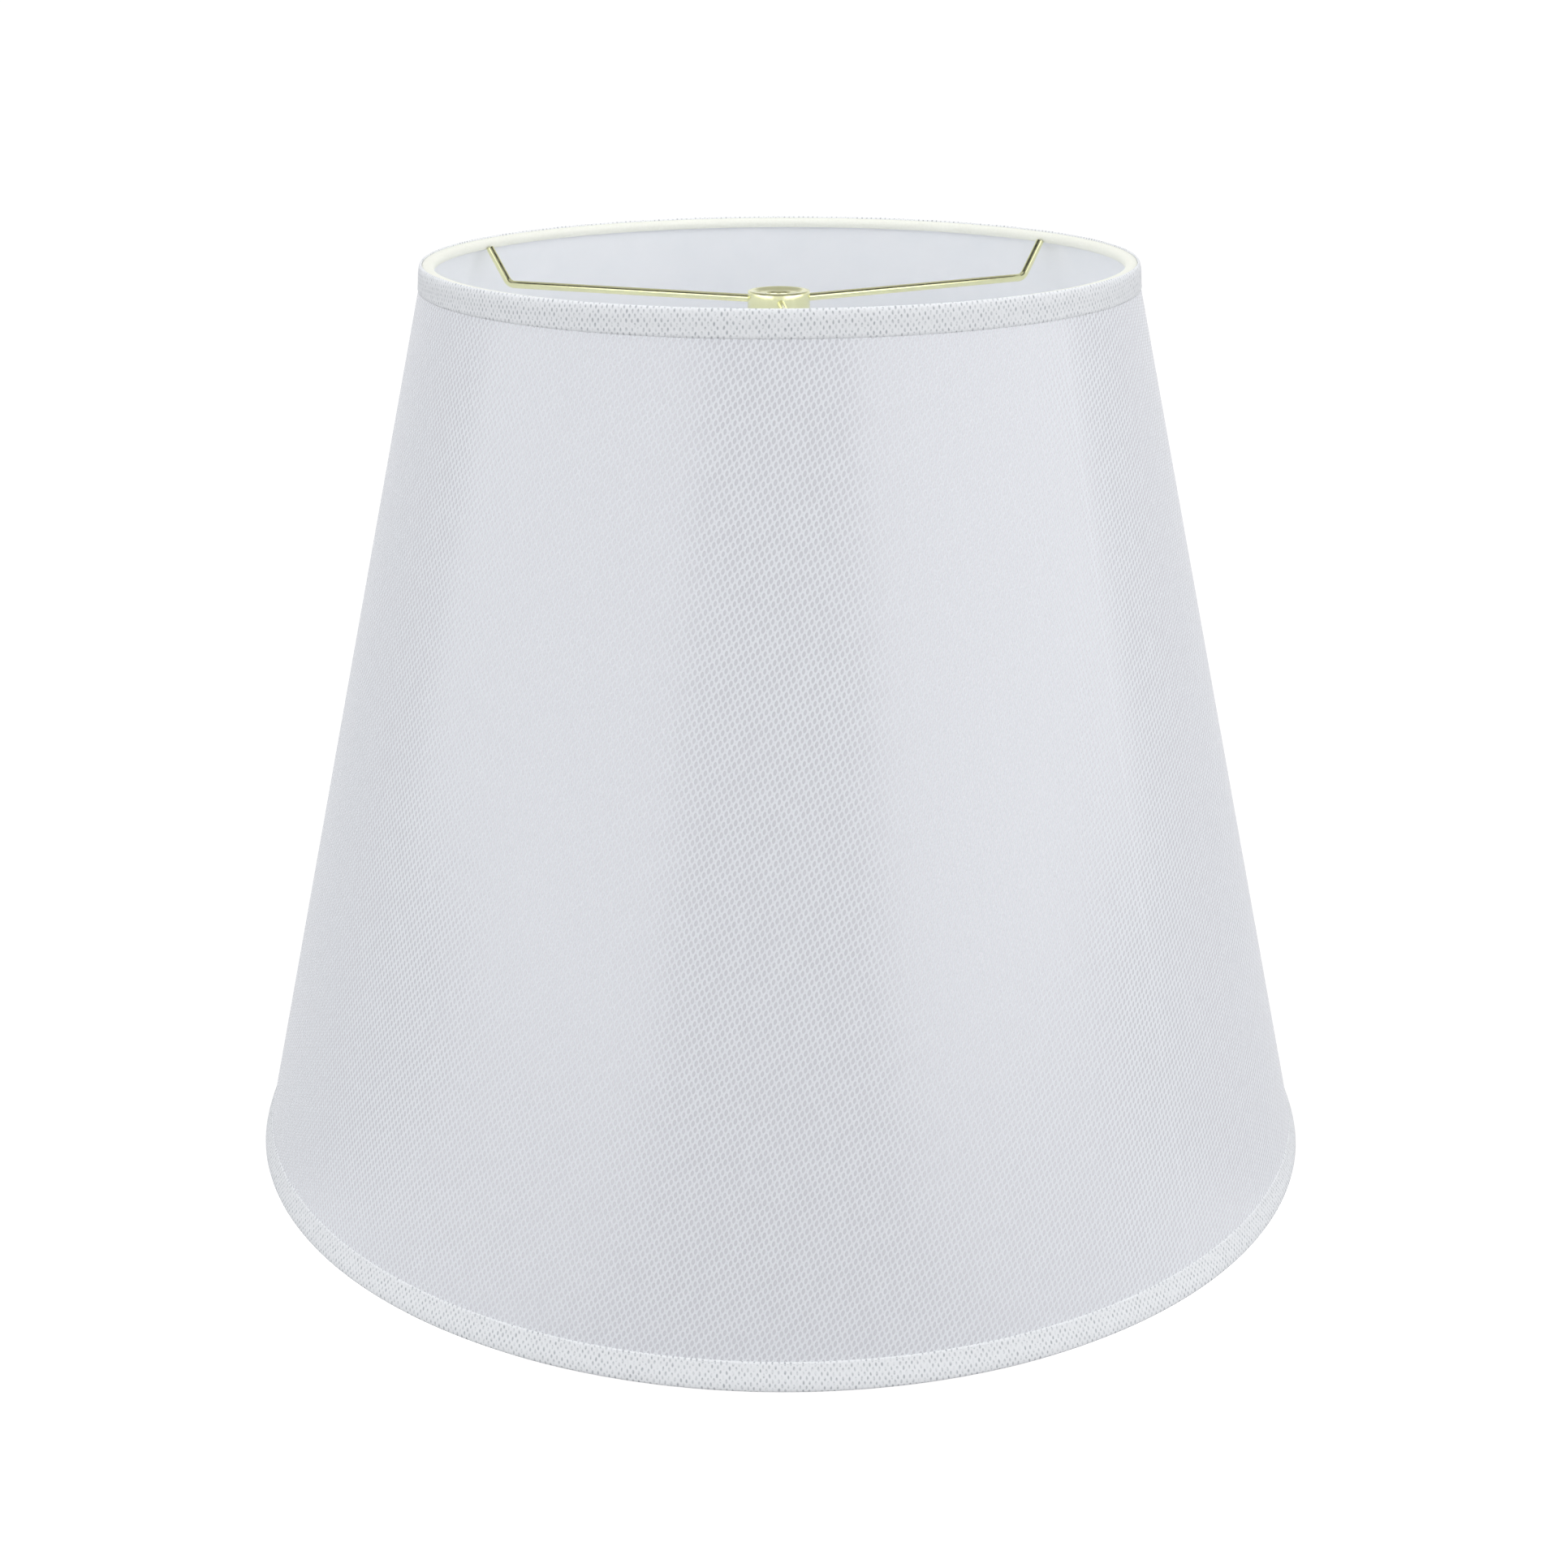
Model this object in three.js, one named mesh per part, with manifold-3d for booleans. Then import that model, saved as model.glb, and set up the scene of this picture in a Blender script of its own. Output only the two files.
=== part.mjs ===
// Empire lamp shade on two wire rings, hung from a three-arm washer fitter.
// Millimetres, +Z up. The origin is the centre of the bottom edge, so the shade stands on z = 0,
// and -Y is its front. Wall thicknesses are measured level, along the radius.
import * as THREE from "three";
import { mergeVertices } from "three/addons/utils/BufferGeometryUtils.js";
import Module from "manifold-3d";

// The cone
const bottomDiameter = 406.4; // over the cover at the bottom edge, 16 in
const topDiameter = 254; // over the cover at the top edge, 10 in
const overallHeight = 336; // bottom edge to the top of the top trim
const linerThickness = 0.35; // styrene sheet
const coverThickness = 0.5; // knitted mesh bonded to the liner
const glueLine = 0.1; // between the cover and the liner
const lapWidth = 12; // where the cover's folded end overlaps its start
const lapThickness = 0.5;
const lapAngle = 94.3; // degrees from +X, behind the shade and opposite the front arm

// Rings and edges
const ringWire = 2.9; // 9 gauge wire, top and bottom
const tapeThickness = 0.35; // edge tape rolled over each ring
const tapeLeg = 3; // how far the tape comes back over the cover
const trimThickness = 0.8; // folded double mesh
const topTrimWidth = 9.5;
const bottomTrimWidth = 9.5;
const topTrimRise = 0.5; // the top trim stands this far above the rolled tape
const trimChamfer = 0.4; // where the fold of a trim turns over the edge

// The fitter
const fitterDrop = 12.5; // hub's top face below the top edge
const hubDiameter = 22.6;
const hubThickness = 7;
const hubBore = 8; // clears a 6.35 mm finial stud
const hubEdgeBevel = 0.7;
const hubRimWidth = 1.2; // raised flat rim round the dish
const hubDishDepth = 0.9;
const hubDishSlope = 1.8; // radial run of the slope from the rim down to the seat
const hubBoreChamfer = 0.8;
const armWire = 2.9;
const armSocketDepth = 4.5; // how far an arm goes into the hub
const armFall = 0.9; // an arm's bend is this much lower than its socket
const armTipClear = 0.55; // tip's centre inside the inner face of the top ring
const armTipDrop = 1; // tip's centre below the centre line of the top ring
const armRise = 8.3; // radial run from the bend to the tip
const armBendRadius = 4;
const fitterTurn = 4.3; // degrees that the three arms are turned about +Z
const armAngles = { front: -90, back_right: 30, back_left: 150 }; // degrees from +X

const gap = 0.3; // left between pieces that touch
const cutClearance = 0.35; // round an arm where it passes through the tape
const coneSides = 64; // facets round the cone
const hubSides = 32;
const wireSides = 12;
const ringSides = 8;
const arcSteps = 5; // facets in the tape's half-round
const bendSteps = 5;

// Heights and radii that follow from the values above
const rollTop = overallHeight - topTrimRise;
const ringInset = tapeThickness + gap + ringWire / 2; // from an edge to the ring's centre line
const topRingZ = rollTop - ringInset;
const bottomRingZ = ringInset;
const sheetBottom = tapeThickness + gap; // the cover and liner stop inside the rolled tape
const sheetTop = rollTop - tapeThickness - gap;
const armTipInset = ringWire / 2 + armTipClear; // from the top ring's centre line
const hubTop = overallHeight - fitterDrop;
const socketZ = hubTop - hubThickness / 2;

const wasm = await Module();
wasm.setup();

// Radius of the cover's outside at height z.
function coneRadius(z) {
  return (bottomDiameter + ((topDiameter - bottomDiameter) * z) / overallHeight) / 2;
}

// Radius of a ring's centre line: the ring sits just inside the liner.
function ringRadius(z) {
  return coneRadius(z) - coverThickness - glueLine - linerThickness - gap - ringWire / 2;
}

// A ring-shaped solid from a closed outline of [radius, height] points, listed anticlockwise
// as seen with the axis on the left.
function turned(outline, sides) {
  const points = [...outline, outline[0]].map(([r, z]) => new THREE.Vector2(r, z));
  return new THREE.LatheGeometry(points, sides).rotateX(Math.PI / 2);
}

// Points of an arc, with angles in degrees anticlockwise from the outward radius.
function arc(r, z, radius, from, to, steps) {
  return Array.from({ length: steps + 1 }, (_, i) => {
    const a = THREE.MathUtils.degToRad(from + ((to - from) * i) / steps);
    return [r + radius * Math.cos(a), z + radius * Math.sin(a)];
  });
}

function toSolid(geometry) {
  const bare = geometry.clone();
  bare.deleteAttribute("normal");
  bare.deleteAttribute("uv");
  const merged = mergeVertices(bare, 1e-4);
  return new wasm.Manifold(
    new wasm.Mesh({
      numProp: 3,
      vertProperties: merged.attributes.position.array,
      triVerts: new Uint32Array(merged.index.array),
    }),
  );
}

function toGeometry(solid) {
  const mesh = solid.getMesh();
  return new THREE.BufferGeometry()
    .setAttribute("position", new THREE.BufferAttribute(mesh.vertProperties, 3))
    .setIndex(new THREE.BufferAttribute(mesh.triVerts, 1));
}

// A wire with one bend: straight to the corner, round the bend radius, straight to its tip.
class BentWire extends THREE.Curve {
  constructor(start, corner, tip, radius, steps) {
    super();
    const inward = start.clone().sub(corner).normalize();
    const onward = tip.clone().sub(corner).normalize();
    const half = inward.angleTo(onward) / 2;
    const middle = inward.clone().add(onward).normalize();
    const centre = corner.clone().addScaledVector(middle, radius / Math.sin(half));
    const first = corner.clone().addScaledVector(inward, radius / Math.tan(half)).sub(centre);
    const axis = inward.clone().cross(onward).normalize();
    const turn = Math.PI - 2 * half;
    this.stations = [start];
    for (let i = 0; i <= steps; i++) {
      this.stations.push(first.clone().applyAxisAngle(axis, (-turn * i) / steps).add(centre));
    }
    this.stations.push(tip);
  }
  getPoint(t, target = new THREE.Vector3()) {
    const along = t * (this.stations.length - 1);
    const i = Math.min(Math.floor(along), this.stations.length - 2);
    return target.lerpVectors(this.stations[i], this.stations[i + 1], along - i);
  }
  // Sections stand at the stations, so that the bend has most of them.
  getPointAt(u, target) {
    return this.getPoint(u, target);
  }
  getTangentAt(u, target = new THREE.Vector3()) {
    const i = Math.round(u * (this.stations.length - 1));
    const before = this.stations[Math.max(i - 1, 0)];
    const after = this.stations[Math.min(i + 1, this.stations.length - 1)];
    return target.subVectors(after, before).normalize();
  }
}

function wireSection(diameter) {
  const section = new THREE.Shape();
  arc(0, 0, diameter / 2, 0, 360 - 360 / wireSides, wireSides - 1).forEach(([x, y], i) =>
    i ? section.lineTo(x, y) : section.moveTo(x, y),
  );
  return section.closePath();
}

// Where an arm runs, in the plane of the shade's axis and the arm.
function armLine() {
  const tip = new THREE.Vector3(ringRadius(topRingZ) - armTipInset, 0, topRingZ - armTipDrop);
  const corner = new THREE.Vector3(tip.x - armRise, 0, socketZ - armFall);
  const start = new THREE.Vector3(hubDiameter / 2 - armSocketDepth, 0, socketZ);
  return { start, corner, tip };
}

function armGeometry() {
  const { start, corner, tip } = armLine();
  return new THREE.ExtrudeGeometry(wireSection(armWire), {
    steps: bendSteps + 2,
    extrudePath: new BentWire(start, corner, tip, armBendRadius, bendSteps),
  });
}

// A straight round cutter from one point to another.
function cutter(from, to, diameter) {
  const along = to.clone().sub(from);
  const rod = new THREE.CylinderGeometry(diameter / 2, diameter / 2, along.length(), wireSides);
  const turn = new THREE.Quaternion().setFromUnitVectors(
    new THREE.Vector3(0, 1, 0),
    along.clone().normalize(),
  );
  rod.applyQuaternion(turn);
  return rod.translate(...from.clone().add(to).divideScalar(2).toArray());
}

// Takes one cutter away from a piece at each arm's angle.
function cutAtArms(geometry, tool) {
  let solid = toSolid(geometry);
  for (const angle of Object.values(armAngles)) {
    const turned = tool.clone().rotateZ(THREE.MathUtils.degToRad(angle + fitterTurn));
    solid = solid.subtract(toSolid(turned));
  }
  return toGeometry(solid);
}

function hubGeometry() {
  const r = hubDiameter / 2;
  const bottom = hubTop - hubThickness;
  const seat = hubTop - hubDishDepth;
  const rimInside = r - hubEdgeBevel - hubRimWidth;
  const body = turned(
    [
      [hubBore / 2, bottom + hubBoreChamfer],
      [hubBore / 2 + hubBoreChamfer, bottom],
      [r - hubEdgeBevel, bottom],
      [r, bottom + hubEdgeBevel],
      [r, hubTop - hubEdgeBevel],
      [r - hubEdgeBevel, hubTop],
      [rimInside, hubTop],
      [rimInside - hubDishSlope, seat],
      [hubBore / 2 + hubBoreChamfer, seat],
      [hubBore / 2, seat - hubBoreChamfer],
    ],
    hubSides,
  );
  const { start } = armLine();
  const floor = start.clone().setX(start.x - gap);
  const mouth = start.clone().setX(r + hubEdgeBevel);
  return cutAtArms(body, cutter(floor, mouth, armWire + 2 * gap));
}

function ringGeometry(z) {
  const outline = arc(ringRadius(z), z, ringWire / 2, 0, 360 - 360 / ringSides, ringSides - 1);
  return turned(outline, coneSides);
}

// The liner and the cover: a cone wall that starts this far inside the cover's outside.
function wallGeometry(inset, thickness) {
  return turned(
    [
      [coneRadius(sheetBottom) - inset - thickness, sheetBottom],
      [coneRadius(sheetBottom) - inset, sheetBottom],
      [coneRadius(sheetTop) - inset, sheetTop],
      [coneRadius(sheetTop) - inset - thickness, sheetTop],
    ],
    coneSides,
  );
}

// The cover with its folded end lapped over its start, between the two trims.
function coverGeometry() {
  const low = bottomTrimWidth + 2 * gap;
  const high = overallHeight - topTrimWidth - 2 * gap;
  const lean = Math.atan2(coneRadius(low) - coneRadius(high), high - low);
  const depth = lapThickness + coverThickness / 2;
  const middle = (low + high) / 2;
  const flatCover = coneRadius(middle) * Math.cos(Math.PI / coneSides);
  const strip = new THREE.BoxGeometry(depth, lapWidth, high - low)
    .rotateY(-lean)
    .translate(flatCover + lapThickness - depth / 2, 0, middle)
    .rotateZ(THREE.MathUtils.degToRad(lapAngle));
  return toGeometry(toSolid(wallGeometry(0, coverThickness)).add(toSolid(strip)));
}

// Edge tape rolled round a ring: a leg outside the cover, over the edge and round the ring.
// side is 1 at the top edge and -1 at the bottom edge.
function tapeGeometry(edgeZ, side) {
  const ringZ = edgeZ - side * ringInset;
  const inner = ringWire / 2 + gap;
  const legZ = edgeZ - side * tapeLeg;
  const insideZ = edgeZ - side * tapeThickness;
  const r = ringRadius(ringZ);
  const outline = [
    [coneRadius(legZ) + gap, legZ],
    [coneRadius(insideZ) + gap, insideZ],
    ...arc(r, ringZ, inner, side * 90, side * 270, arcSteps),
    ...arc(r, ringZ, inner + tapeThickness, side * 270, side * 90, arcSteps),
    [coneRadius(edgeZ) + gap + tapeThickness, edgeZ],
    [coneRadius(legZ) + gap + tapeThickness, legZ],
  ];
  return turned(side > 0 ? outline.reverse() : outline, coneSides);
}

// The top tape is notched where each arm goes up through it to the ring.
function topTapeGeometry() {
  const { corner, tip } = armLine();
  const beyond = tip.clone().add(tip.clone().sub(corner).setLength(armWire / 4));
  const notch = cutter(corner, beyond, armWire + 2 * cutClearance);
  return cutAtArms(tapeGeometry(rollTop, 1), notch);
}

// Folded mesh band round an edge, outside the tape's leg and close to the cover below it.
function trimGeometry(edgeZ, side, width, tapeEdge) {
  const overTape = 2 * gap + tapeThickness;
  const legZ = tapeEdge - side * (tapeLeg + gap);
  const farZ = edgeZ - side * width;
  const chamferZ = edgeZ - side * trimChamfer;
  const outline = [
    [coneRadius(farZ) + gap, farZ],
    [coneRadius(farZ) + gap + trimThickness, farZ],
    [coneRadius(legZ) + overTape + trimThickness, legZ],
    [coneRadius(chamferZ) + overTape + trimThickness, chamferZ],
    [coneRadius(edgeZ) + overTape + trimThickness - trimChamfer, edgeZ],
    [coneRadius(edgeZ) + overTape, edgeZ],
    [coneRadius(legZ) + overTape, legZ],
  ];
  return turned(side > 0 ? outline : outline.reverse(), coneSides);
}

const finishes = {
  brass: { color: "#e6e6b8", roughness: 0.16, metalness: 1 },
  wire: { color: "#b9b9b2", roughness: 0.4, metalness: 1 },
  styrene: { color: "#e4e7eb", roughness: 0.5, metalness: 0 },
  mesh: { color: "#dce0e4", roughness: 0.9, metalness: 0 },
  trim: { color: "#e6e9ec", roughness: 0.9, metalness: 0 },
  tape: { color: "#ecede2", roughness: 0.8, metalness: 0 },
};

function piece(name, geometry, finish) {
  const mesh = new THREE.Mesh(geometry, new THREE.MeshStandardMaterial(finishes[finish]));
  mesh.name = name;
  return mesh;
}

function fitter() {
  const group = new THREE.Group();
  group.add(piece("spider_hub", hubGeometry(), "brass"));
  for (const [place, angle] of Object.entries(armAngles)) {
    const arm = piece(`spider_arm_${place}`, armGeometry(), "brass");
    arm.rotation.z = THREE.MathUtils.degToRad(angle + fitterTurn);
    group.add(arm);
  }
  return group;
}

function shadeBody() {
  const group = new THREE.Group();
  group.add(
    piece("top_ring", ringGeometry(topRingZ), "wire"),
    piece("bottom_ring", ringGeometry(bottomRingZ), "wire"),
    piece("styrene_liner", wallGeometry(coverThickness + glueLine, linerThickness), "styrene"),
    piece("mesh_cover", coverGeometry(), "mesh"),
    piece("top_edge_tape", topTapeGeometry(), "tape"),
    piece("bottom_edge_tape", tapeGeometry(0, -1), "tape"),
    piece("top_trim", trimGeometry(overallHeight, 1, topTrimWidth, rollTop), "trim"),
    piece("bottom_trim", trimGeometry(0, -1, bottomTrimWidth, 0), "trim"),
  );
  return group;
}

const shade = new THREE.Group();
shade.add(shadeBody(), fitter());

export default shade;
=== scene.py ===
import math

import bmesh
import bpy
from mathutils import Matrix, Vector


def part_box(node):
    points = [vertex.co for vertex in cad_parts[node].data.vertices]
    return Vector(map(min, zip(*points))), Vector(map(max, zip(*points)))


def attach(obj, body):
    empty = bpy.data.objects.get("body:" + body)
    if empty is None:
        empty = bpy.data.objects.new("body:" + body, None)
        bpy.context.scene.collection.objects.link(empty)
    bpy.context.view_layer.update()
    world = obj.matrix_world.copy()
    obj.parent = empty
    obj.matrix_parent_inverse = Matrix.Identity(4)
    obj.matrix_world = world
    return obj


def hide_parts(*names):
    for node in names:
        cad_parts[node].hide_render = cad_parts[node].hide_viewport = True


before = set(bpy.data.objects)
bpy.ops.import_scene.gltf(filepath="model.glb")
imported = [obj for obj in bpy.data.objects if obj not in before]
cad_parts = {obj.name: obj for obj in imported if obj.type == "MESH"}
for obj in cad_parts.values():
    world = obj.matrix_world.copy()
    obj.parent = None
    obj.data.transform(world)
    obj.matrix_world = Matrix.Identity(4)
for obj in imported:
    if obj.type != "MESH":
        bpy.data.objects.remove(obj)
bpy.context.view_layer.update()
scene = bpy.context.scene
scene.view_settings.view_transform = "Standard"
mm = 0.001
smooth = "SMOOTHSTEP"

shade = {  # the cone that every cloth piece follows, measured over the cover
    "height": 336 * mm,
    "bottomRadius": 203.2 * mm,
    "topRadius": 127 * mm,
    "lapAngle": 94.3,  # degrees from +X, where the cover's ends meet
    "steps": 288,  # round the cone
}
taper = (shade["bottomRadius"] - shade["topRadius"]) / shade["height"]
apexHeight = shade["bottomRadius"] / taper
slant = math.hypot(1, taper)  # cone length for each unit of height
unroll = taper / slant  # turn of the flat cloth for each turn of the cone


def coneRadius(z):
    return shade["bottomRadius"] - taper * z


def linear(hexColour):
    channels = [int(hexColour[i:i + 2], 16) / 255 for i in (1, 3, 5)]
    return tuple(c / 12.92 if c <= 0.04045 else ((c + 0.055) / 1.055) ** 2.4 for c in channels) + (1,)


def add(tree, kind, inputs=None, **settings):
    made = tree.nodes.new("ShaderNode" + kind)
    for name, value in settings.items():
        setattr(made, name, value)
    for name, value in (inputs or {}).items():
        if isinstance(value, bpy.types.NodeSocket):
            tree.links.new(value, made.inputs[name])
        else:
            made.inputs[name].default_value = value
    return made


def newMaterial(name, colour, **base):
    material = bpy.data.materials.new(name)
    material.use_nodes = True
    shader = material.node_tree.nodes["Principled BSDF"]
    shader.inputs["Base Color"].default_value = linear(colour)
    for socket, value in base.items():
        shader.inputs[socket].default_value = value
    return material, material.node_tree, shader


# Lets a fine noise shift the tint, and the roughness if a range is given, from place to place
def mottle(tree, shader, grain, detail, tints, roughness=None):
    place = add(tree, "TexCoord").outputs["Object"]
    noise = add(tree, "TexNoise", {"Vector": place, "Scale": 1 / grain, "Detail": detail}).outputs[0]
    tint = add(tree, "MixRGB", {0: noise, 1: linear(tints[0]), 2: linear(tints[1])}).outputs[0]
    tree.links.new(tint, shader.inputs["Base Color"])
    if roughness:
        span = {"From Min": 0.3, "From Max": 0.7, "To Min": roughness[0], "To Max": roughness[1]}
        rough = add(tree, "MapRange", {"Value": noise, **span}).outputs[0]
        tree.links.new(rough, shader.inputs["Roughness"])
    return noise


def spun(points, closed=False, steps=shade["steps"], start=0.0, turns=1.0):
    bm = bmesh.new()
    turn = Matrix.Rotation(start, 3, "Z")
    chain = [bm.verts.new(turn @ Vector((r, 0, z))) for r, z in points]
    ends = chain[1:] + chain[:1] if closed else chain[1:]
    edges = [bm.edges.new(pair) for pair in zip(chain, ends)]
    full = turns == 1.0
    bmesh.ops.spin(bm, geom=chain + edges, cent=(0, 0, 0), axis=(0, 0, 1),
                   angle=math.tau * turns, steps=steps, use_merge=full)
    if full:
        bmesh.ops.remove_doubles(bm, verts=bm.verts, dist=1e-6)
    bmesh.ops.recalc_face_normals(bm, faces=bm.faces)
    return bm


def finished(bm, name, materials, replaced, sharpAngle=40):
    mesh = bpy.data.meshes.new(name)
    bm.to_mesh(mesh)
    bm.free()
    for material in materials:
        mesh.materials.append(material)
    mesh.shade_smooth()
    mesh.set_sharp_from_angle(angle=math.radians(sharpAngle))
    piece = bpy.data.objects.new(name, mesh)
    scene.collection.objects.link(piece)
    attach(piece, "root")
    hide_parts(*replaced)
    return piece


# Camera
view = {
    "place": (0, -0.8351, 0.4408),
    "pitch": 0.3172,
    "yaw": 0.0171,
    "roll": -0.0055,
    "lens": 52.66,
    "sensor": 36,
    "shift": (0.0207, -0.0523),
}
camera = bpy.data.objects.new("camera", bpy.data.cameras.new("camera"))
camera.data.lens = view["lens"]
camera.data.sensor_width = view["sensor"]
camera.data.shift_x, camera.data.shift_y = view["shift"]
aim = Matrix.Rotation(view["yaw"], 4, "Z") @ Matrix.Rotation(math.pi / 2 - view["pitch"], 4, "X")
camera.matrix_world = Matrix.Translation(view["place"]) @ aim @ Matrix.Rotation(view["roll"], 4, "Z")
scene.collection.objects.link(camera)
scene.camera = camera
print("camera set")

# Studio
studio = {
    "floorSize": 60,
    "floorGlow": (1.0, 1.5),  # in front, and in the pools of light at the sides
    "floorBounce": 0.06,  # what the white floor gives to rough surfaces
    "pool": (22, 32, 60, 78),  # degrees round from the camera over which the pools rise and fall
    "horizon": 1.0,
    "overhead": 0.5,
    "sky": (0.1, 0.6),  # heights over which the horizon fades into the overhead
    "flagAhead": (0.35, 0.2),  # black flags: the edges nearest the back wall,
    "flagLow": (0.58, 0.64),  # nearest the floor
    "flagHigh": (0.88, 0.82),  # and nearest the ceiling
    "flagGlow": 0.03,
    "fill": 0.67,  # what the walls and ceiling give to rough surfaces
    "boxPower": 13.5,
    "boxSize": (2.26, 1.2),
    "boxPlace": (1.3, -0.75, 0.4),
    "boxes": ((-1, 0.75, (0.97, 0.985, 1.0)), (1, 0.9, (0.985, 0.99, 1.0))),  # side, share, colour
    "aim": (0, 0, 0.2),
}
softLights = {  # power, size, place and aim; none of them shows in a gloss
    "topLight": (5, (1.2, 1.2), (0, 0, 1.5), (0, 0, 0)),
    "frontLight": (2, (1, 1), (0, -1.6, 0.7), studio["aim"]),
    "backLight": (7, (2, 1.2), (0, 1.7, 0.6), studio["aim"]),
    "underLight": (0.62, (0.16, 0.16), (0, 0.1, 0.004), (0, -0.1, 0.2)),  # on the floor, for the inside
}
bm = bmesh.new()
bmesh.ops.create_grid(bm, x_segments=1, y_segments=1, size=studio["floorSize"] / 2)
floorMesh = bpy.data.meshes.new("floor")
bm.to_mesh(floorMesh)
bm.free()
floor = bpy.data.objects.new("floor", floorMesh)
scene.collection.objects.link(floor)

# White sweep paper, made to glow so bright that it burns out: plain white under the shade, with painted
# pools of light glowing brighter at its sides
floorPaint, tree, shader = newMaterial("white_sweep_paper", "#202020", Roughness=1)
shader.inputs["Emission Color"].default_value = (1, 1, 1, 1)
spot = add(tree, "SeparateXYZ", {0: add(tree, "TexCoord").outputs["Object"]})
away = add(tree, "Math", {0: spot.outputs["X"]}, operation="ABSOLUTE").outputs[0]
front = add(tree, "Math", {0: spot.outputs["Y"], 1: -1}, operation="MULTIPLY").outputs[0]
around = add(tree, "Math", {0: away, 1: front}, operation="ARCTAN2").outputs[0]
rise, risen, fall, fallen = map(math.radians, studio["pool"])
pool = 1.0
for start, end in ((rise, risen), (fallen, fall)):
    edge = add(tree, "MapRange", {"Value": around, "From Min": start, "From Max": end},
               interpolation_type=smooth).outputs[0]
    pool = add(tree, "Math", {0: pool, 1: edge}, operation="MULTIPLY").outputs[0]
dim, bright = studio["floorGlow"]
pool = add(tree, "Mix", {0: pool, 2: dim, 3: bright}, data_type="FLOAT").outputs[0]
soft = add(tree, "LightPath").outputs["Is Diffuse Ray"]
glow = add(tree, "Mix", {0: soft, 2: pool, 3: studio["floorBounce"]}, data_type="FLOAT").outputs[0]
tree.links.new(glow, shader.inputs["Emission Strength"])
floorMesh.materials.append(floorPaint)

world = bpy.data.worlds.new("studio")
scene.world = world
world.use_nodes = True
tree = world.node_tree
heading = add(tree, "SeparateXYZ", {0: add(tree, "TexCoord").outputs["Generated"]}).outputs
low, high = studio["sky"]
glow = add(tree, "MapRange", {"Value": heading["Z"], "From Min": low, "From Max": high,
                              "To Min": studio["horizon"], "To Max": studio["overhead"]},
           interpolation_type=smooth).outputs[0]
flag = 1.0  # black flags hang above the camera and the boxes, and the brass mirrors them as thin dark lines
for axis, side in (("Y", "flagAhead"), ("Z", "flagLow"), ("Z", "flagHigh")):
    start, end = studio[side]
    edge = add(tree, "MapRange", {"Value": heading[axis], "From Min": start, "From Max": end},
               interpolation_type=smooth).outputs[0]
    flag = add(tree, "Math", {0: flag, 1: edge}, operation="MULTIPLY").outputs[0]
glow = add(tree, "Mix", {0: flag, 2: glow, 3: studio["flagGlow"]}, data_type="FLOAT").outputs[0]
soft = add(tree, "LightPath").outputs["Is Diffuse Ray"]
glow = add(tree, "Mix", {0: soft, 2: glow, 3: studio["fill"]}, data_type="FLOAT").outputs[0]
tree.links.new(glow, tree.nodes["Background"].inputs["Strength"])
tree.nodes["Background"].inputs["Color"].default_value = (1, 1, 1, 1)


def areaLight(name, power, size, place, aim, colour=(1, 1, 1)):
    light = bpy.data.lights.new(name, "AREA")
    light.shape = "RECTANGLE"
    light.size, light.size_y = size
    light.energy = power
    light.color = colour
    lamp = bpy.data.objects.new(name, light)
    lamp.location = place
    lamp.rotation_euler = (Vector(aim) - lamp.location).to_track_quat("-Z", "Y").to_euler()
    scene.collection.objects.link(lamp)
    return lamp


x, y, z = studio["boxPlace"]
for side, share, colour in studio["boxes"]:
    areaLight("softbox", studio["boxPower"] * share, studio["boxSize"], (side * x, y, z), studio["aim"],
              colour)
for name, values in softLights.items():
    areaLight(name, *values).visible_glossy = False
print("studio set")

# Knit: an open warp-knit mesh, seen as rows of oval holes outlined by fine yarn
knit = {
    "across": (2.26, -0.69),  # mm from a hole to the next one beside it, on the flat cloth
    "along": (0.82, 3.37),  # mm to the next one above it
    "holeWidth": 1.12,
    "holeHeight": 2.2,
    "holeSpread": (0.93, 1.1),  # how the holes' sizes vary
    "edge": (0.8, 1.2),  # share of the hole's size over which film gives way to yarn
    "slitSize": 0.33,  # dimples halfway between the holes
    "slitEdge": (0.5, 1.4),
    "waves": 260.0,  # noise along the rows, for each metre
    "wander": 0.07 * mm,
    "yarn": "#e6e9ee",
    # painted shade: the slits halfway between the holes are tinted darker than the yarn for the shade in
    # their dimples
    "slitShade": "#dcdfe5",
    "filmInShade": "#c9cad1",  # what shows through the holes: the styrene's own tone under the clear film, darkened with painted shade for the holes' depth
    "filmRoughness": 0.24,
    "yarnRoughness": 0.9,
    "relief": (0.15 * mm, 0.08),  # depth and strength
}


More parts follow.
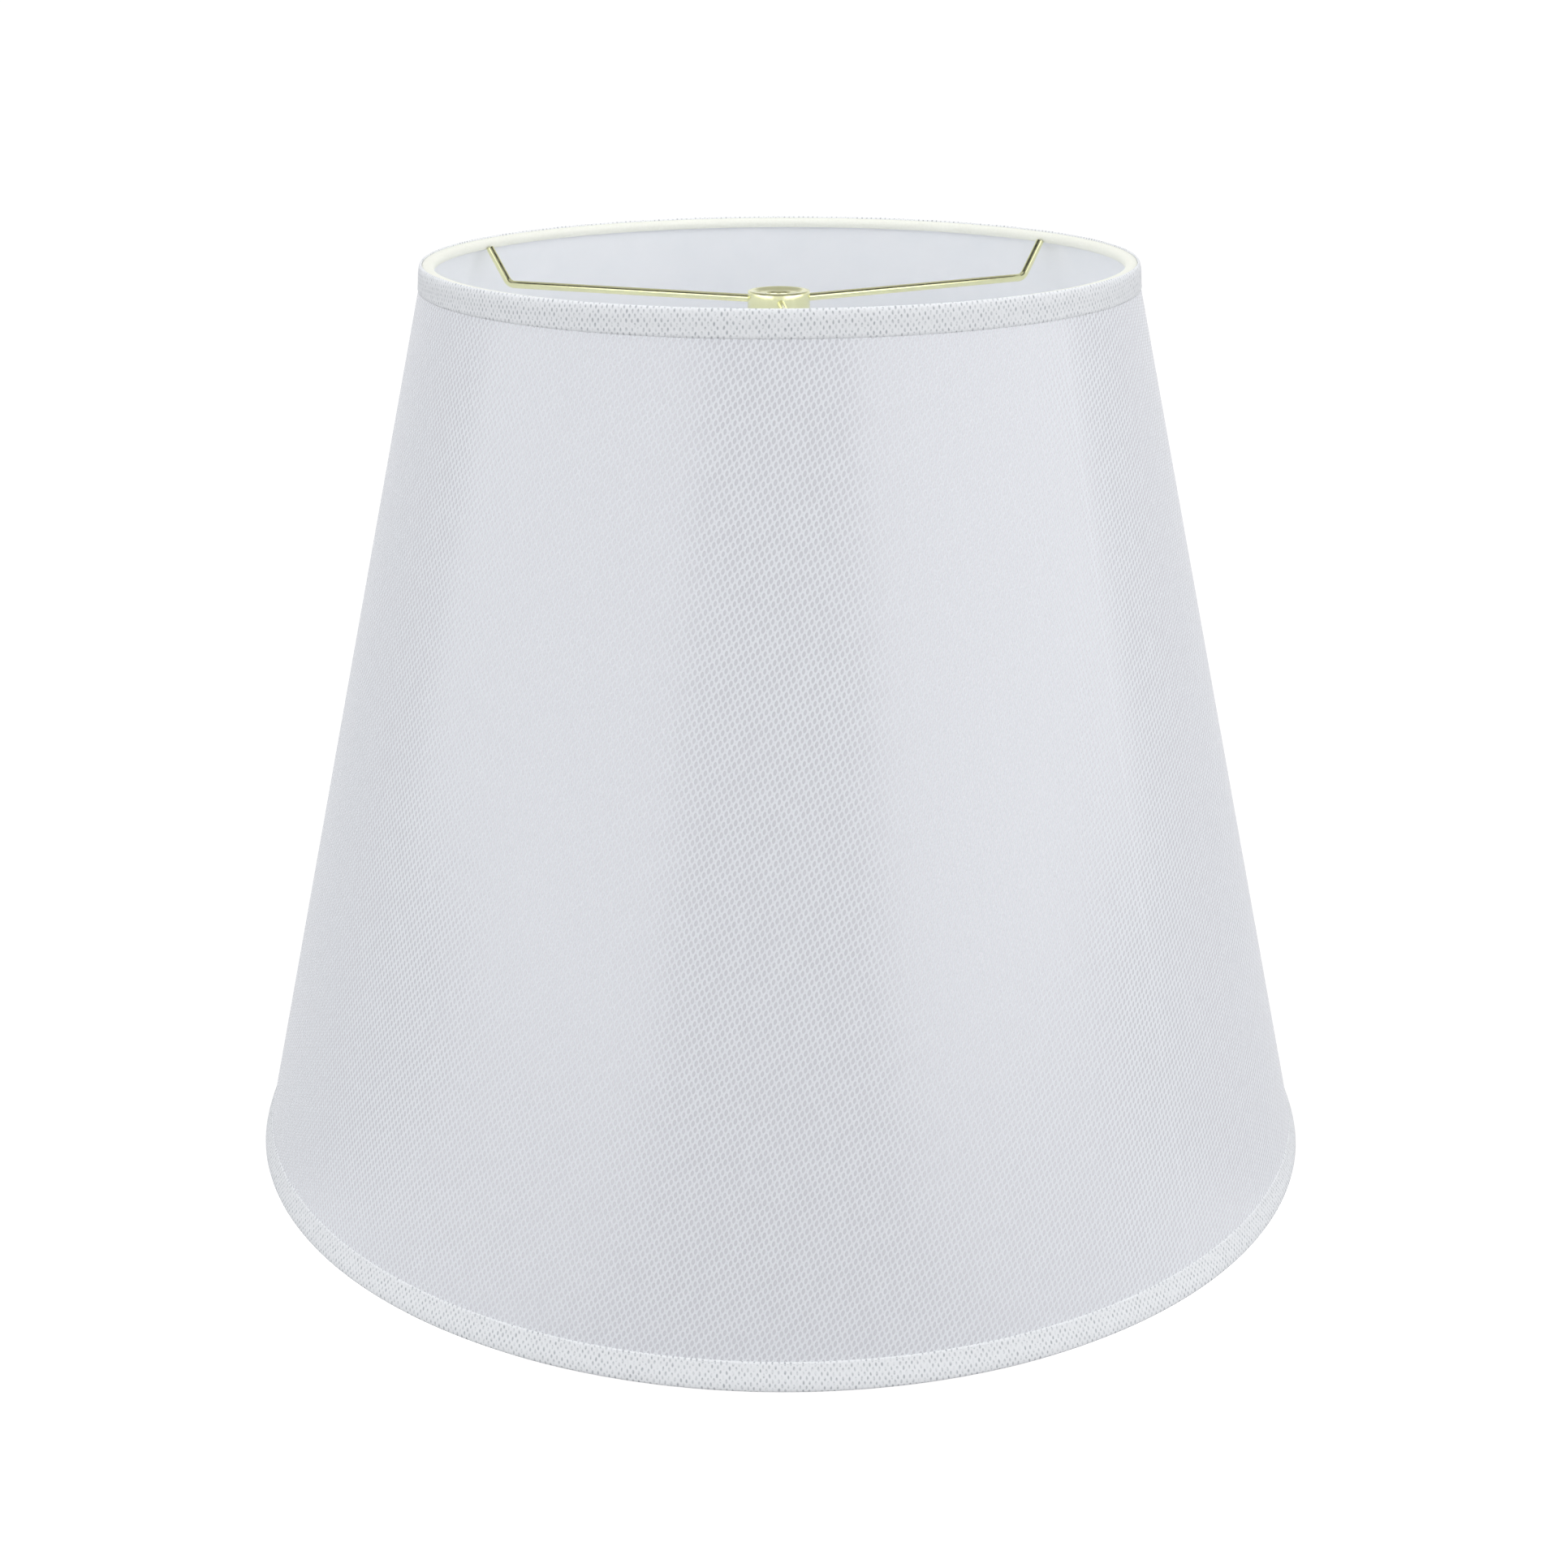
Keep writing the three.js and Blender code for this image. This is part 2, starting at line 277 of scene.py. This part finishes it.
# Distance from the nearest hole's centre, 1 at the hole's outline
def nearestHole(tree, flat, turn=0.0, shift=(0.0, 0.0), fullness=1.0):
    across, along = Vector((*knit["across"], 0)) * mm, Vector((*knit["along"], 0)) * mm
    turned = Matrix.Rotation(turn, 3, "Z")
    across, along = turned @ across, turned @ along
    area = across.cross(along).z
    rows = Vector((along.y, -along.x, 0)) / area, Vector((-across.y, across.x, 0)) / area
    parts = [add(tree, "VectorMath", {0: flat, 1: row}, operation="DOT_PRODUCT").outputs["Value"]
             for row in rows]
    cell = add(tree, "CombineXYZ", {0: parts[0], 1: parts[1]}).outputs[0]
    stretch = (2 * across.length / (knit["holeWidth"] * mm * fullness),
               2 * along.length / (knit["holeHeight"] * mm * fullness), 0)
    small, large = knit["holeSpread"]
    distances = []
    for half in (0.0, 0.5):
        offset = (half + shift[0], half + shift[1], 0)
        moved = add(tree, "VectorMath", {0: cell, 1: offset}, operation="ADD").outputs[0]
        local = add(tree, "VectorMath", {0: moved, 1: (0.5, 0.5, 0.5), 2: (-0.5, -0.5, -0.5)},
                    operation="WRAP").outputs[0]
        number = add(tree, "VectorMath", {0: moved, 1: local}, operation="SUBTRACT").outputs[0]
        chance = add(tree, "TexWhiteNoise", {"Vector": number}, noise_dimensions="3D").outputs["Value"]
        size = add(tree, "MapRange", {"Value": chance, "To Min": small, "To Max": large}).outputs[0]
        oval = add(tree, "VectorMath", {0: local, 1: stretch}, operation="MULTIPLY").outputs[0]
        length = add(tree, "VectorMath", {0: oval}, operation="LENGTH").outputs["Value"]
        distances.append(add(tree, "Math", {0: length, 1: size}, operation="MULTIPLY").outputs[0])
    return add(tree, "Math", {0: distances[0], 1: distances[1]}, operation="MINIMUM").outputs[0]


# The place on the flat cloth, moved a little so that rows of stitches aren't ruled straight
def wandering(tree, reach):
    flat = add(tree, "UVMap", uv_map="flat").outputs[0]
    noise = add(tree, "TexNoise", {"Vector": flat, "Scale": knit["waves"], "Detail": 1.0},
                noise_dimensions="2D").outputs["Color"]
    shift = add(tree, "MapRange", {"Vector": noise, 9: (-reach, -reach, 0), 10: (reach, reach, 0)},
                data_type="FLOAT_VECTOR").outputs[1]
    return add(tree, "VectorMath", {0: flat, 1: shift}, operation="ADD").outputs[0]


# Warp-knit polyester mesh glued over clear film: matt yarn round oval holes, with a soft gloss in each hole
meshFabric, tree, shader = newMaterial("polyester_warp_knit_mesh", "#e4e7eb", IOR=1.6,
                                       **{"Specular IOR Level": 1.0})
flat = wandering(tree, knit["wander"])
masks = []
for centres, (inner, outer) in ((nearestHole(tree, flat), knit["edge"]),
                                (nearestHole(tree, flat, shift=(0.5, 0), fullness=knit["slitSize"]),
                                 knit["slitEdge"])):
    masks.append(add(tree, "MapRange", {"Value": centres, "From Min": inner, "From Max": outer},
                     interpolation_type=smooth).outputs[0])
yarn, slitShade = masks
# The slits take a darker tint: painted shade in their dimples
tint = add(tree, "MixRGB", {0: slitShade, 1: linear(knit["slitShade"]), 2: linear(knit["yarn"])}).outputs[0]
# The holes take the film's tint: the styrene's own tone darkened with painted shade for the holes' depth
tint = add(tree, "MixRGB", {0: yarn, 1: linear(knit["filmInShade"]), 2: tint}).outputs[0]
tree.links.new(tint, shader.inputs["Base Color"])
rough = add(tree, "MapRange", {"Value": yarn, "To Min": knit["filmRoughness"],
                               "To Max": knit["yarnRoughness"]}).outputs[0]
tree.links.new(rough, shader.inputs["Roughness"])
depth, strength = knit["relief"]
bump = add(tree, "Bump", {"Height": yarn, "Distance": depth, "Strength": strength}).outputs[0]
tree.links.new(bump, shader.inputs["Normal"])

# Liner and cover
sheets = {
    "bottom": 0.65 * mm,
    "top": 334.85 * mm,
    "cover": 0.5 * mm,
    "glue": 0.1 * mm,
    "liner": 0.35 * mm,
    "lap": 12 * mm,  # the cover's end over its start
    "lapRise": 0.52 * mm,
    "lapPressed": 0.24 * mm,  # the same where a trim presses on it
    "lapSteps": 3,
    "ramp": 2,  # steps over which the cover climbs onto its own start
    "pressed": 10.2 * mm,  # the trims press the lap flat this near the edges
    "release": 2 * mm,  # over which the lap rises again
    "almostRound": 0.99999,  # turns, so that the cover's ends stay apart
}


# The turn of a place from the front, within half a turn of another
def turnNear(place, around):
    turn = math.atan2(place.x, -place.y)
    return turn + math.tau * round((around - turn) / math.tau)


# Lays the cone's faces flat, in metres, on the piece's UV map
def developed(bm, lapFaces=()):
    layer = bm.loops.layers.uv.new("flat")
    seam = math.radians(shade["lapAngle"] + 90)
    for face in bm.faces:
        middle = face.calc_center_median()
        around = (math.atan2(middle.x, -middle.y) - seam) % math.tau + seam - math.tau
        if face in lapFaces:
            around += math.tau
        for loop in face.loops:
            turn = turnNear(loop.vert.co, around)
            run = (apexHeight - loop.vert.co.z) * slant
            loop[layer].uv = (run * math.sin(turn * unroll), -run * math.cos(turn * unroll))


# Extruded styrene sheet, rolled: a satin white that clouds a little where the rollers pressed unevenly
styrene, tree, shader = newMaterial("extruded_styrene_sheet", "#f2f4f8", Roughness=0.45)
mottle(tree, shader, 14 * mm, 3.0, ("#eef1f5", "#f5f6f9"), (0.38, 0.52))


def coneLine(outset, heights):
    return [(coneRadius(z) + outset, z) for z in heights]


bm = spun(coneLine(-sheets["cover"] - sheets["glue"], (sheets["bottom"], sheets["top"])))
developed(bm)
bmesh.ops.solidify(bm, geom=bm.faces, thickness=sheets["liner"])
liner = finished(bm, "styrene_liner.sheet", [styrene], ["styrene_liner"])

heights = (sheets["bottom"], sheets["pressed"], sheets["pressed"] + sheets["release"],
           shade["height"] - sheets["pressed"] - sheets["release"], shade["height"] - sheets["pressed"],
           sheets["top"])
seamTurn = math.radians(shade["lapAngle"])
stepTurn = math.tau / shade["steps"]
bm = spun(coneLine(0, heights), start=seamTurn, turns=sheets["almostRound"])


def lapOutset(z):
    reach = sheets["pressed"] * 1.01
    under = z < reach or z > shade["height"] - reach
    return sheets["lapPressed"] if under else sheets["lapRise"]


def pastSeam(vert):
    return (math.atan2(vert.co.y, vert.co.x) - seamTurn) % math.tau


lastEdges = [e for e in bm.edges if e.is_boundary and all(pastSeam(v) > math.tau - 0.01 for v in e.verts)]
rising = [v for v in bm.verts if pastSeam(v) > math.tau - stepTurn * (sheets["ramp"] - 0.5)]
for vert in rising:
    share = 1 - (math.tau - pastSeam(vert)) / stepTurn / sheets["ramp"]
    radius = math.hypot(vert.co.x, vert.co.y)
    scale = 1 + lapOutset(vert.co.z) * share / radius
    vert.co.x, vert.co.y = vert.co.x * scale, vert.co.y * scale
lapFaces = set()
for step in range(sheets["lapSteps"]):
    grown = bmesh.ops.extrude_edge_only(bm, edges=lastEdges)["geom"]
    for vert in [g for g in grown if isinstance(g, bmesh.types.BMVert)]:
        forward = sheets["lap"] / sheets["lapSteps"] / coneRadius(vert.co.z)
        vert.co.rotate(Matrix.Rotation(forward, 3, "Z"))
    lastEdges = [g for g in grown if isinstance(g, bmesh.types.BMEdge) and g.is_boundary and
                 abs(g.verts[0].co.z - g.verts[1].co.z) > 1e-5 and len(g.link_faces) == 1]
    lapFaces |= {g for g in grown if isinstance(g, bmesh.types.BMFace)}
bmesh.ops.recalc_face_normals(bm, faces=bm.faces)
developed(bm, lapFaces)
bmesh.ops.solidify(bm, geom=bm.faces, thickness=sheets["cover"])
cover = finished(bm, "mesh_cover.cloth", [meshFabric], ["mesh_cover"])
print("liner and cover rolled")

# Trims: a strip of the same knit, both edges folded in behind, glued round each edge
trim = {
    "width": 9.5 * mm,
    "layer": 0.34 * mm,
    "foot": (0.03 * mm, 0.42 * mm),  # from the cover to the strip's inner and outer faces, low on the strip
    "head": (0.27 * mm, 1.3 * mm),  # the same where it passes over the edge tape
    "climb": (9.2, 7.4),  # mm from the shade's edge where foot turns to head, and over how many mm
    "fold": (1.3, 1.13),  # mm from the shade's edge to the fold's middle, and the fold's depth
    "inside": (4.6, 3.8, 3.0, 2.2, 1.5),  # mm from the shade's edge, up the inner layer
    "outside": (1.5, 2.1, 2.8, 3.5, 4.2, 5.0, 5.8, 6.6, 7.6, 8.6),  # down the outer one
    "tip": ((0.88, 0.7), (0.66, 0.45), (0.42, 0.25), (0.2, 0.1), (0.05, 0.06)),  # share out, mm from the end
    "under": (8.8, 7.2, 6.0, 5.0),  # and back up beneath
    "cutWidth": 19 * mm,
    "yarn": "#edeff2",
    # painted shade: the tint of the holes that show, for the shade down in them
    "shadedHole": "#b3b6bc",
    "holeSize": 0.7,
    "holeEdge": (0.5, 1.4),
    "slack": 1.2,  # how much the unstretched stitches close up
    "turn": 14,  # degrees that the strip's knit is turned, as it is cut on the bias
    "wander": 0.3 * mm,
    "patches": 1.7 * mm,  # size of the patches where the layer beneath fills the holes
    "covering": 0.85,
    "relief": (0.2 * mm, 0.5),
}
# The same knit folded double: its holes fall in and out of line with those beneath, so only some show, and
# those are painted dark: painted shade in the gaps down to the cloth beneath
trimFabric, tree, shader = newMaterial("folded_warp_knit_strip", "#e0e3e7", Roughness=0.85)
flat = wandering(tree, trim["wander"])
slack = add(tree, "VectorMath", {0: flat, 3: trim["slack"]}, operation="SCALE").outputs[0]
centres = nearestHole(tree, slack, turn=math.radians(trim["turn"]), fullness=trim["holeSize"])
inner, outer = trim["holeEdge"]
yarn = add(tree, "MapRange", {"Value": centres, "From Min": inner, "From Max": outer},
           interpolation_type=smooth).outputs[0]
patch = add(tree, "TexNoise", {"Vector": flat, "Scale": 1 / trim["patches"]},
            noise_dimensions="2D").outputs[0]
covered = add(tree, "MapRange", {"Value": patch, "From Min": 0.36, "From Max": 0.64, "To Min": 0.0,
                                 "To Max": trim["covering"]}).outputs[0]
shown = add(tree, "Math", {0: yarn, 1: covered}, operation="MAXIMUM").outputs[0]
tint = add(tree, "MixRGB", {0: shown, 1: linear(trim["shadedHole"]), 2: linear(trim["yarn"])}).outputs[0]
tree.links.new(tint, shader.inputs["Base Color"])
depth, strength = trim["relief"]
bump = add(tree, "Bump", {"Height": shown, "Distance": depth, "Strength": strength}).outputs[0]
tree.links.new(bump, shader.inputs["Normal"])


# One strip in section: up its inner layer, over the fold at the shade's edge, down outside and under
def foldedBand(edge, side):
    far, (footIn, footOut), (headIn, headOut) = trim["width"] / mm, trim["foot"], trim["head"]
    climbStart, climbLength = trim["climb"]
    foldMiddle, foldDepth = trim["fold"]

    def between(low, high, depth):
        share = min(max((climbStart - depth) / climbLength, 0), 1)
        return low + (high - low) * share * share * (3 - 2 * share)

    points = [(between(footIn, headIn, d), d) for d in trim["inside"]]
    middle, reach = (headIn + headOut) / 2, (headOut - headIn) / 2
    for turn in range(170, 0, -20):
        a = math.radians(turn)
        points.append((middle + reach * math.cos(a), foldMiddle - foldDepth * math.sin(a)))
    points += [(between(footOut, headOut, d), d) for d in trim["outside"]]
    points += [(footOut * share, far - back) for share, back in trim["tip"]]
    points += [(between(footIn, headIn, d), d) for d in trim["under"]]
    chain = [(coneRadius(edge - side * d * mm) + out, edge - side * d * mm) for out, d in points]
    bm = spun(chain)
    lengths, total = {}, 0.0
    for before, after in zip([chain[0]] + chain, chain):
        total += math.dist(before, after)
        lengths[after] = total
    layer = bm.loops.layers.uv.new("flat")
    middleRadius = coneRadius(edge - side * far / 2 * mm)
    for face in bm.faces:
        middle = face.calc_center_median()
        around = math.atan2(middle.x, -middle.y)
        for loop in face.loops:
            place = loop.vert.co
            nearest = min(lengths, key=lambda p: math.dist(p, (place.xy.length, place.z)))
            loop[layer].uv = (turnNear(place, around) * middleRadius, lengths[nearest])
    return bm


# Turns a shell so that its outermost faces point away from the axis
def outwards(bm):
    outer = max(bm.faces, key=lambda f: f.calc_center_median().xy.length)
    if outer.normal.xy.dot(outer.calc_center_median().xy) < 0:
        bmesh.ops.reverse_faces(bm, faces=bm.faces)


trims = {}
for name, edge, side in (("top_trim", shade["height"], 1), ("bottom_trim", 0, -1)):
    bm = foldedBand(edge, side)
    outwards(bm)
    for face in bm.faces:
        face.normal_update()
    bmesh.ops.solidify(bm, geom=bm.faces, thickness=trim["layer"])
    trims[name] = finished(bm, name + ".band", [trimFabric], [name], sharpAngle=60)
print("trims folded")

# Edge tapes: ivory ribbon rolled over each ring
tape = {
    "thickness": 0.35 * mm,
    "roll": 1.66 * mm,  # from the ring's middle to the tape's middle
    "leg": (3 * mm, 1.6 * mm, 0.6 * mm),  # from the shade's edge, up the cover's outside
    "gap": 0.06 * mm,  # between the leg and the cover
    "corner": 0.05 * mm,  # by which the tape's outer corner is cut
    "flat": (0.5 * mm, 1.2 * mm),  # the level part, in from the leg and out from the ring's middle
    "inset": 2.1 * mm,  # from the shade's edge to the ring's middle
    "ringIn": 2.7 * mm,  # from the cone to the ring's middle
    "cutWidth": 12.7 * mm,
}
# Woven cotton tape, unbleached: a matt ivory with a faint tooth, its threads too fine to show one by one
tapeCloth, tree, shader = newMaterial("woven_cotton_edge_tape", "#f0f1e8", Roughness=0.9)
tooth = mottle(tree, shader, 0.9 * mm, 1.0, ("#ecede3", "#f4f5ed"))
bump = add(tree, "Bump", {"Height": tooth, "Distance": 0.08 * mm, "Strength": 0.3}).outputs[0]
tree.links.new(bump, shader.inputs["Normal"])


# The tape in section: up its leg outside the cover, level over the edge, then round the ring
def rolledTape(edge, side):
    ringHeight = edge - side * tape["inset"]
    ringRadius = coneRadius(ringHeight) - tape["ringIn"]
    middle = tape["thickness"] / 2
    legOut = tape["gap"] + middle
    points = [(coneRadius(edge - side * d) + legOut, edge - side * d) for d in tape["leg"]]
    points.append((coneRadius(edge) + legOut - tape["corner"], edge - side * (middle + tape["corner"])))
    top = edge - side * middle
    points += [(coneRadius(edge) + legOut - tape["flat"][0], top), (ringRadius + tape["flat"][1], top)]
    lift = top * side - ringHeight * side - tape["roll"]
    for turn in range(90, 281, 19):
        a = math.radians(turn)
        up = tape["roll"] * math.sin(a) + lift * max(math.sin(a), 0)
        points.append((ringRadius + tape["roll"] * math.cos(a), ringHeight + side * up))
    return spun(points)


tapes = {}
for name, edge, side in (("top_edge_tape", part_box("top_edge_tape")[1].z, 1), ("bottom_edge_tape", 0, -1)):
    bm = rolledTape(edge, side)
    bmesh.ops.solidify(bm, geom=bm.faces, thickness=tape["thickness"])
    tapes[name] = finished(bm, name + ".ribbon", [tapeCloth], [name], sharpAngle=60)
print("tapes rolled")

# Fitter: brass-plated hub and three arms
fitter = {
    "hubRadius": 11.3 * mm,
    "hubSteps": 96,
    "bore": 4 * mm,
    "edge": (0.2 * mm, 0.7 * mm),  # the hub's outer edges, rounded in two steps
    "boreEdge": (0.25 * mm, 0.8 * mm),
    "dish": 0.9 * mm,  # depth of the seat below the rim
    "rim": (1.9 * mm, 2.4 * mm, 3.2 * mm, 3.7 * mm),  # in from the outside: the slope from rim to seat
    "slope": 0.15 * mm,
    "wire": 2.9 * mm,
    "socketHeight": 320 * mm,
    "fall": 0.9 * mm,
    "rise": 8.3 * mm,
    "bendRadius": 4 * mm,
    "socketDepth": 4.5 * mm,
    "tipGap": 0.55 * mm,  # solder between the arm and the ring
    "tipDrop": 1 * mm,  # from the ring's middle
    "turn": 4.3,  # degrees that the fitter is turned in the shade
    "bendSteps": 12,
    "wireSides": 28,
}
# Brass-plated steel, bright-dipped: a pale yellow mirror, dulled in fine patches by handling
brass, tree, shader = newMaterial("bright_brass_plate", "#f3f2c4", Metallic=1, Roughness=0.12)
mottle(tree, shader, 2 * mm, 3.0, ("#f0efbe", "#f6f6cb"), (0.14, 0.26))

top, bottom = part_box("spider_hub")[1].z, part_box("spider_hub")[0].z
r, bore = fitter["hubRadius"], fitter["bore"]
seat = top - fitter["dish"]
(edgeSmall, edge), (boreSmall, boreEdge) = fitter["edge"], fitter["boreEdge"]
rim, slope = fitter["rim"], fitter["slope"]
section = [
    (bore, bottom + boreEdge), (bore + boreSmall, bottom + boreSmall), (bore + boreEdge, bottom),
    (r - edge, bottom), (r - edgeSmall, bottom + edgeSmall), (r, bottom + edge),
    (r, top - edge), (r - edgeSmall, top - edgeSmall), (r - edge, top),
    (r - rim[0], top), (r - rim[1], top - slope), (r - rim[2], seat + slope), (r - rim[3], seat),
    (bore + boreEdge, seat), (bore + boreSmall, seat - boreSmall), (bore, seat - boreEdge),
]
bm = spun(section, closed=True, steps=fitter["hubSteps"])
hub = finished(bm, "spider_hub.body", [brass], ["spider_hub"], sharpAngle=50)


# The arm's middle line, as places and headings: from its socket in the hub, round the bend, up to the ring
def armStations():
    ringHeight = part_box("top_ring")[1].z - fitter["wire"] / 2
    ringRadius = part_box("top_ring")[1].x - fitter["wire"] / 2
    tip = Vector((ringRadius - fitter["wire"] / 2 - fitter["tipGap"], 0, ringHeight - fitter["tipDrop"]))
    corner = Vector((tip.x - fitter["rise"], 0, fitter["socketHeight"] - fitter["fall"]))
    start = Vector((r - fitter["socketDepth"], 0, fitter["socketHeight"]))
    inward, onward = (start - corner).normalized(), (tip - corner).normalized()
    half = inward.angle(onward) / 2
    centre = corner + (inward + onward).normalized() * fitter["bendRadius"] / math.sin(half)
    first = corner + inward * fitter["bendRadius"] / math.tan(half) - centre
    turn = math.pi - 2 * half
    stations = [(start, -inward)]
    for i in range(fitter["bendSteps"] + 1):
        swing = Matrix.Rotation(-turn * i / fitter["bendSteps"], 3, "Y")
        stations.append((centre + swing @ first, swing @ -inward))
    stations.append((tip, onward))
    return stations


def bentArm():
    bm = bmesh.new()
    stations = armStations()
    place, heading = stations[0]
    level = Vector((0, 1, 0))
    turned = Matrix((level, heading.cross(level), heading)).transposed().to_4x4()
    bmesh.ops.create_circle(bm, cap_ends=True, segments=fitter["wireSides"], radius=fitter["wire"] / 2,
                            matrix=Matrix.Translation(place) @ turned)
    edges = [e for e in bm.edges if e.is_boundary]
    for (before, was), (after, now) in zip(stations, stations[1:]):
        grown = bmesh.ops.extrude_edge_only(bm, edges=edges)["geom"]
        verts = [g for g in grown if isinstance(g, bmesh.types.BMVert)]
        edges = [g for g in grown if isinstance(g, bmesh.types.BMEdge) and all(v in verts for v in g.verts)]
        bend = was.rotation_difference(now).to_matrix()
        for v in verts:
            v.co = bend @ (v.co - before) + after
    bmesh.ops.contextual_create(bm, geom=edges)
    bmesh.ops.recalc_face_normals(bm, faces=bm.faces)
    return bm


for place, angle in (("front", -90), ("back_right", 30), ("back_left", 150)):
    bm = bentArm()
    facing = Matrix.Rotation(math.radians(angle + fitter["turn"]), 3, "Z")
    bmesh.ops.rotate(bm, verts=bm.verts, cent=(0, 0, 0), matrix=facing)
    name = "spider_arm_" + place
    finished(bm, name + ".wire", [brass], [name], sharpAngle=50)
print("fitter bent")

# Rings: zinc-plated wire, seen only where the tape stops short of it
ringWire, tree, shader = newMaterial("zinc_plated_steel_wire", "#c9cbce", Metallic=1, Roughness=0.35)
mottle(tree, shader, 1.5 * mm, 4.0, ("#bfc1c5", "#d0d2d4"), (0.28, 0.45))
for name in ("top_ring", "bottom_ring"):
    for ringSlot in bpy.data.objects[name].material_slots:
        ringSlot.material = ringWire
print("rings plated")

for name, piece in trims.items():
    around = math.tau * coneRadius(331 * mm if name == "top_trim" else 5 * mm)
for name, piece in tapes.items():
    around = math.tau * coneRadius(334 * mm if name == "top_edge_tape" else 2 * mm)
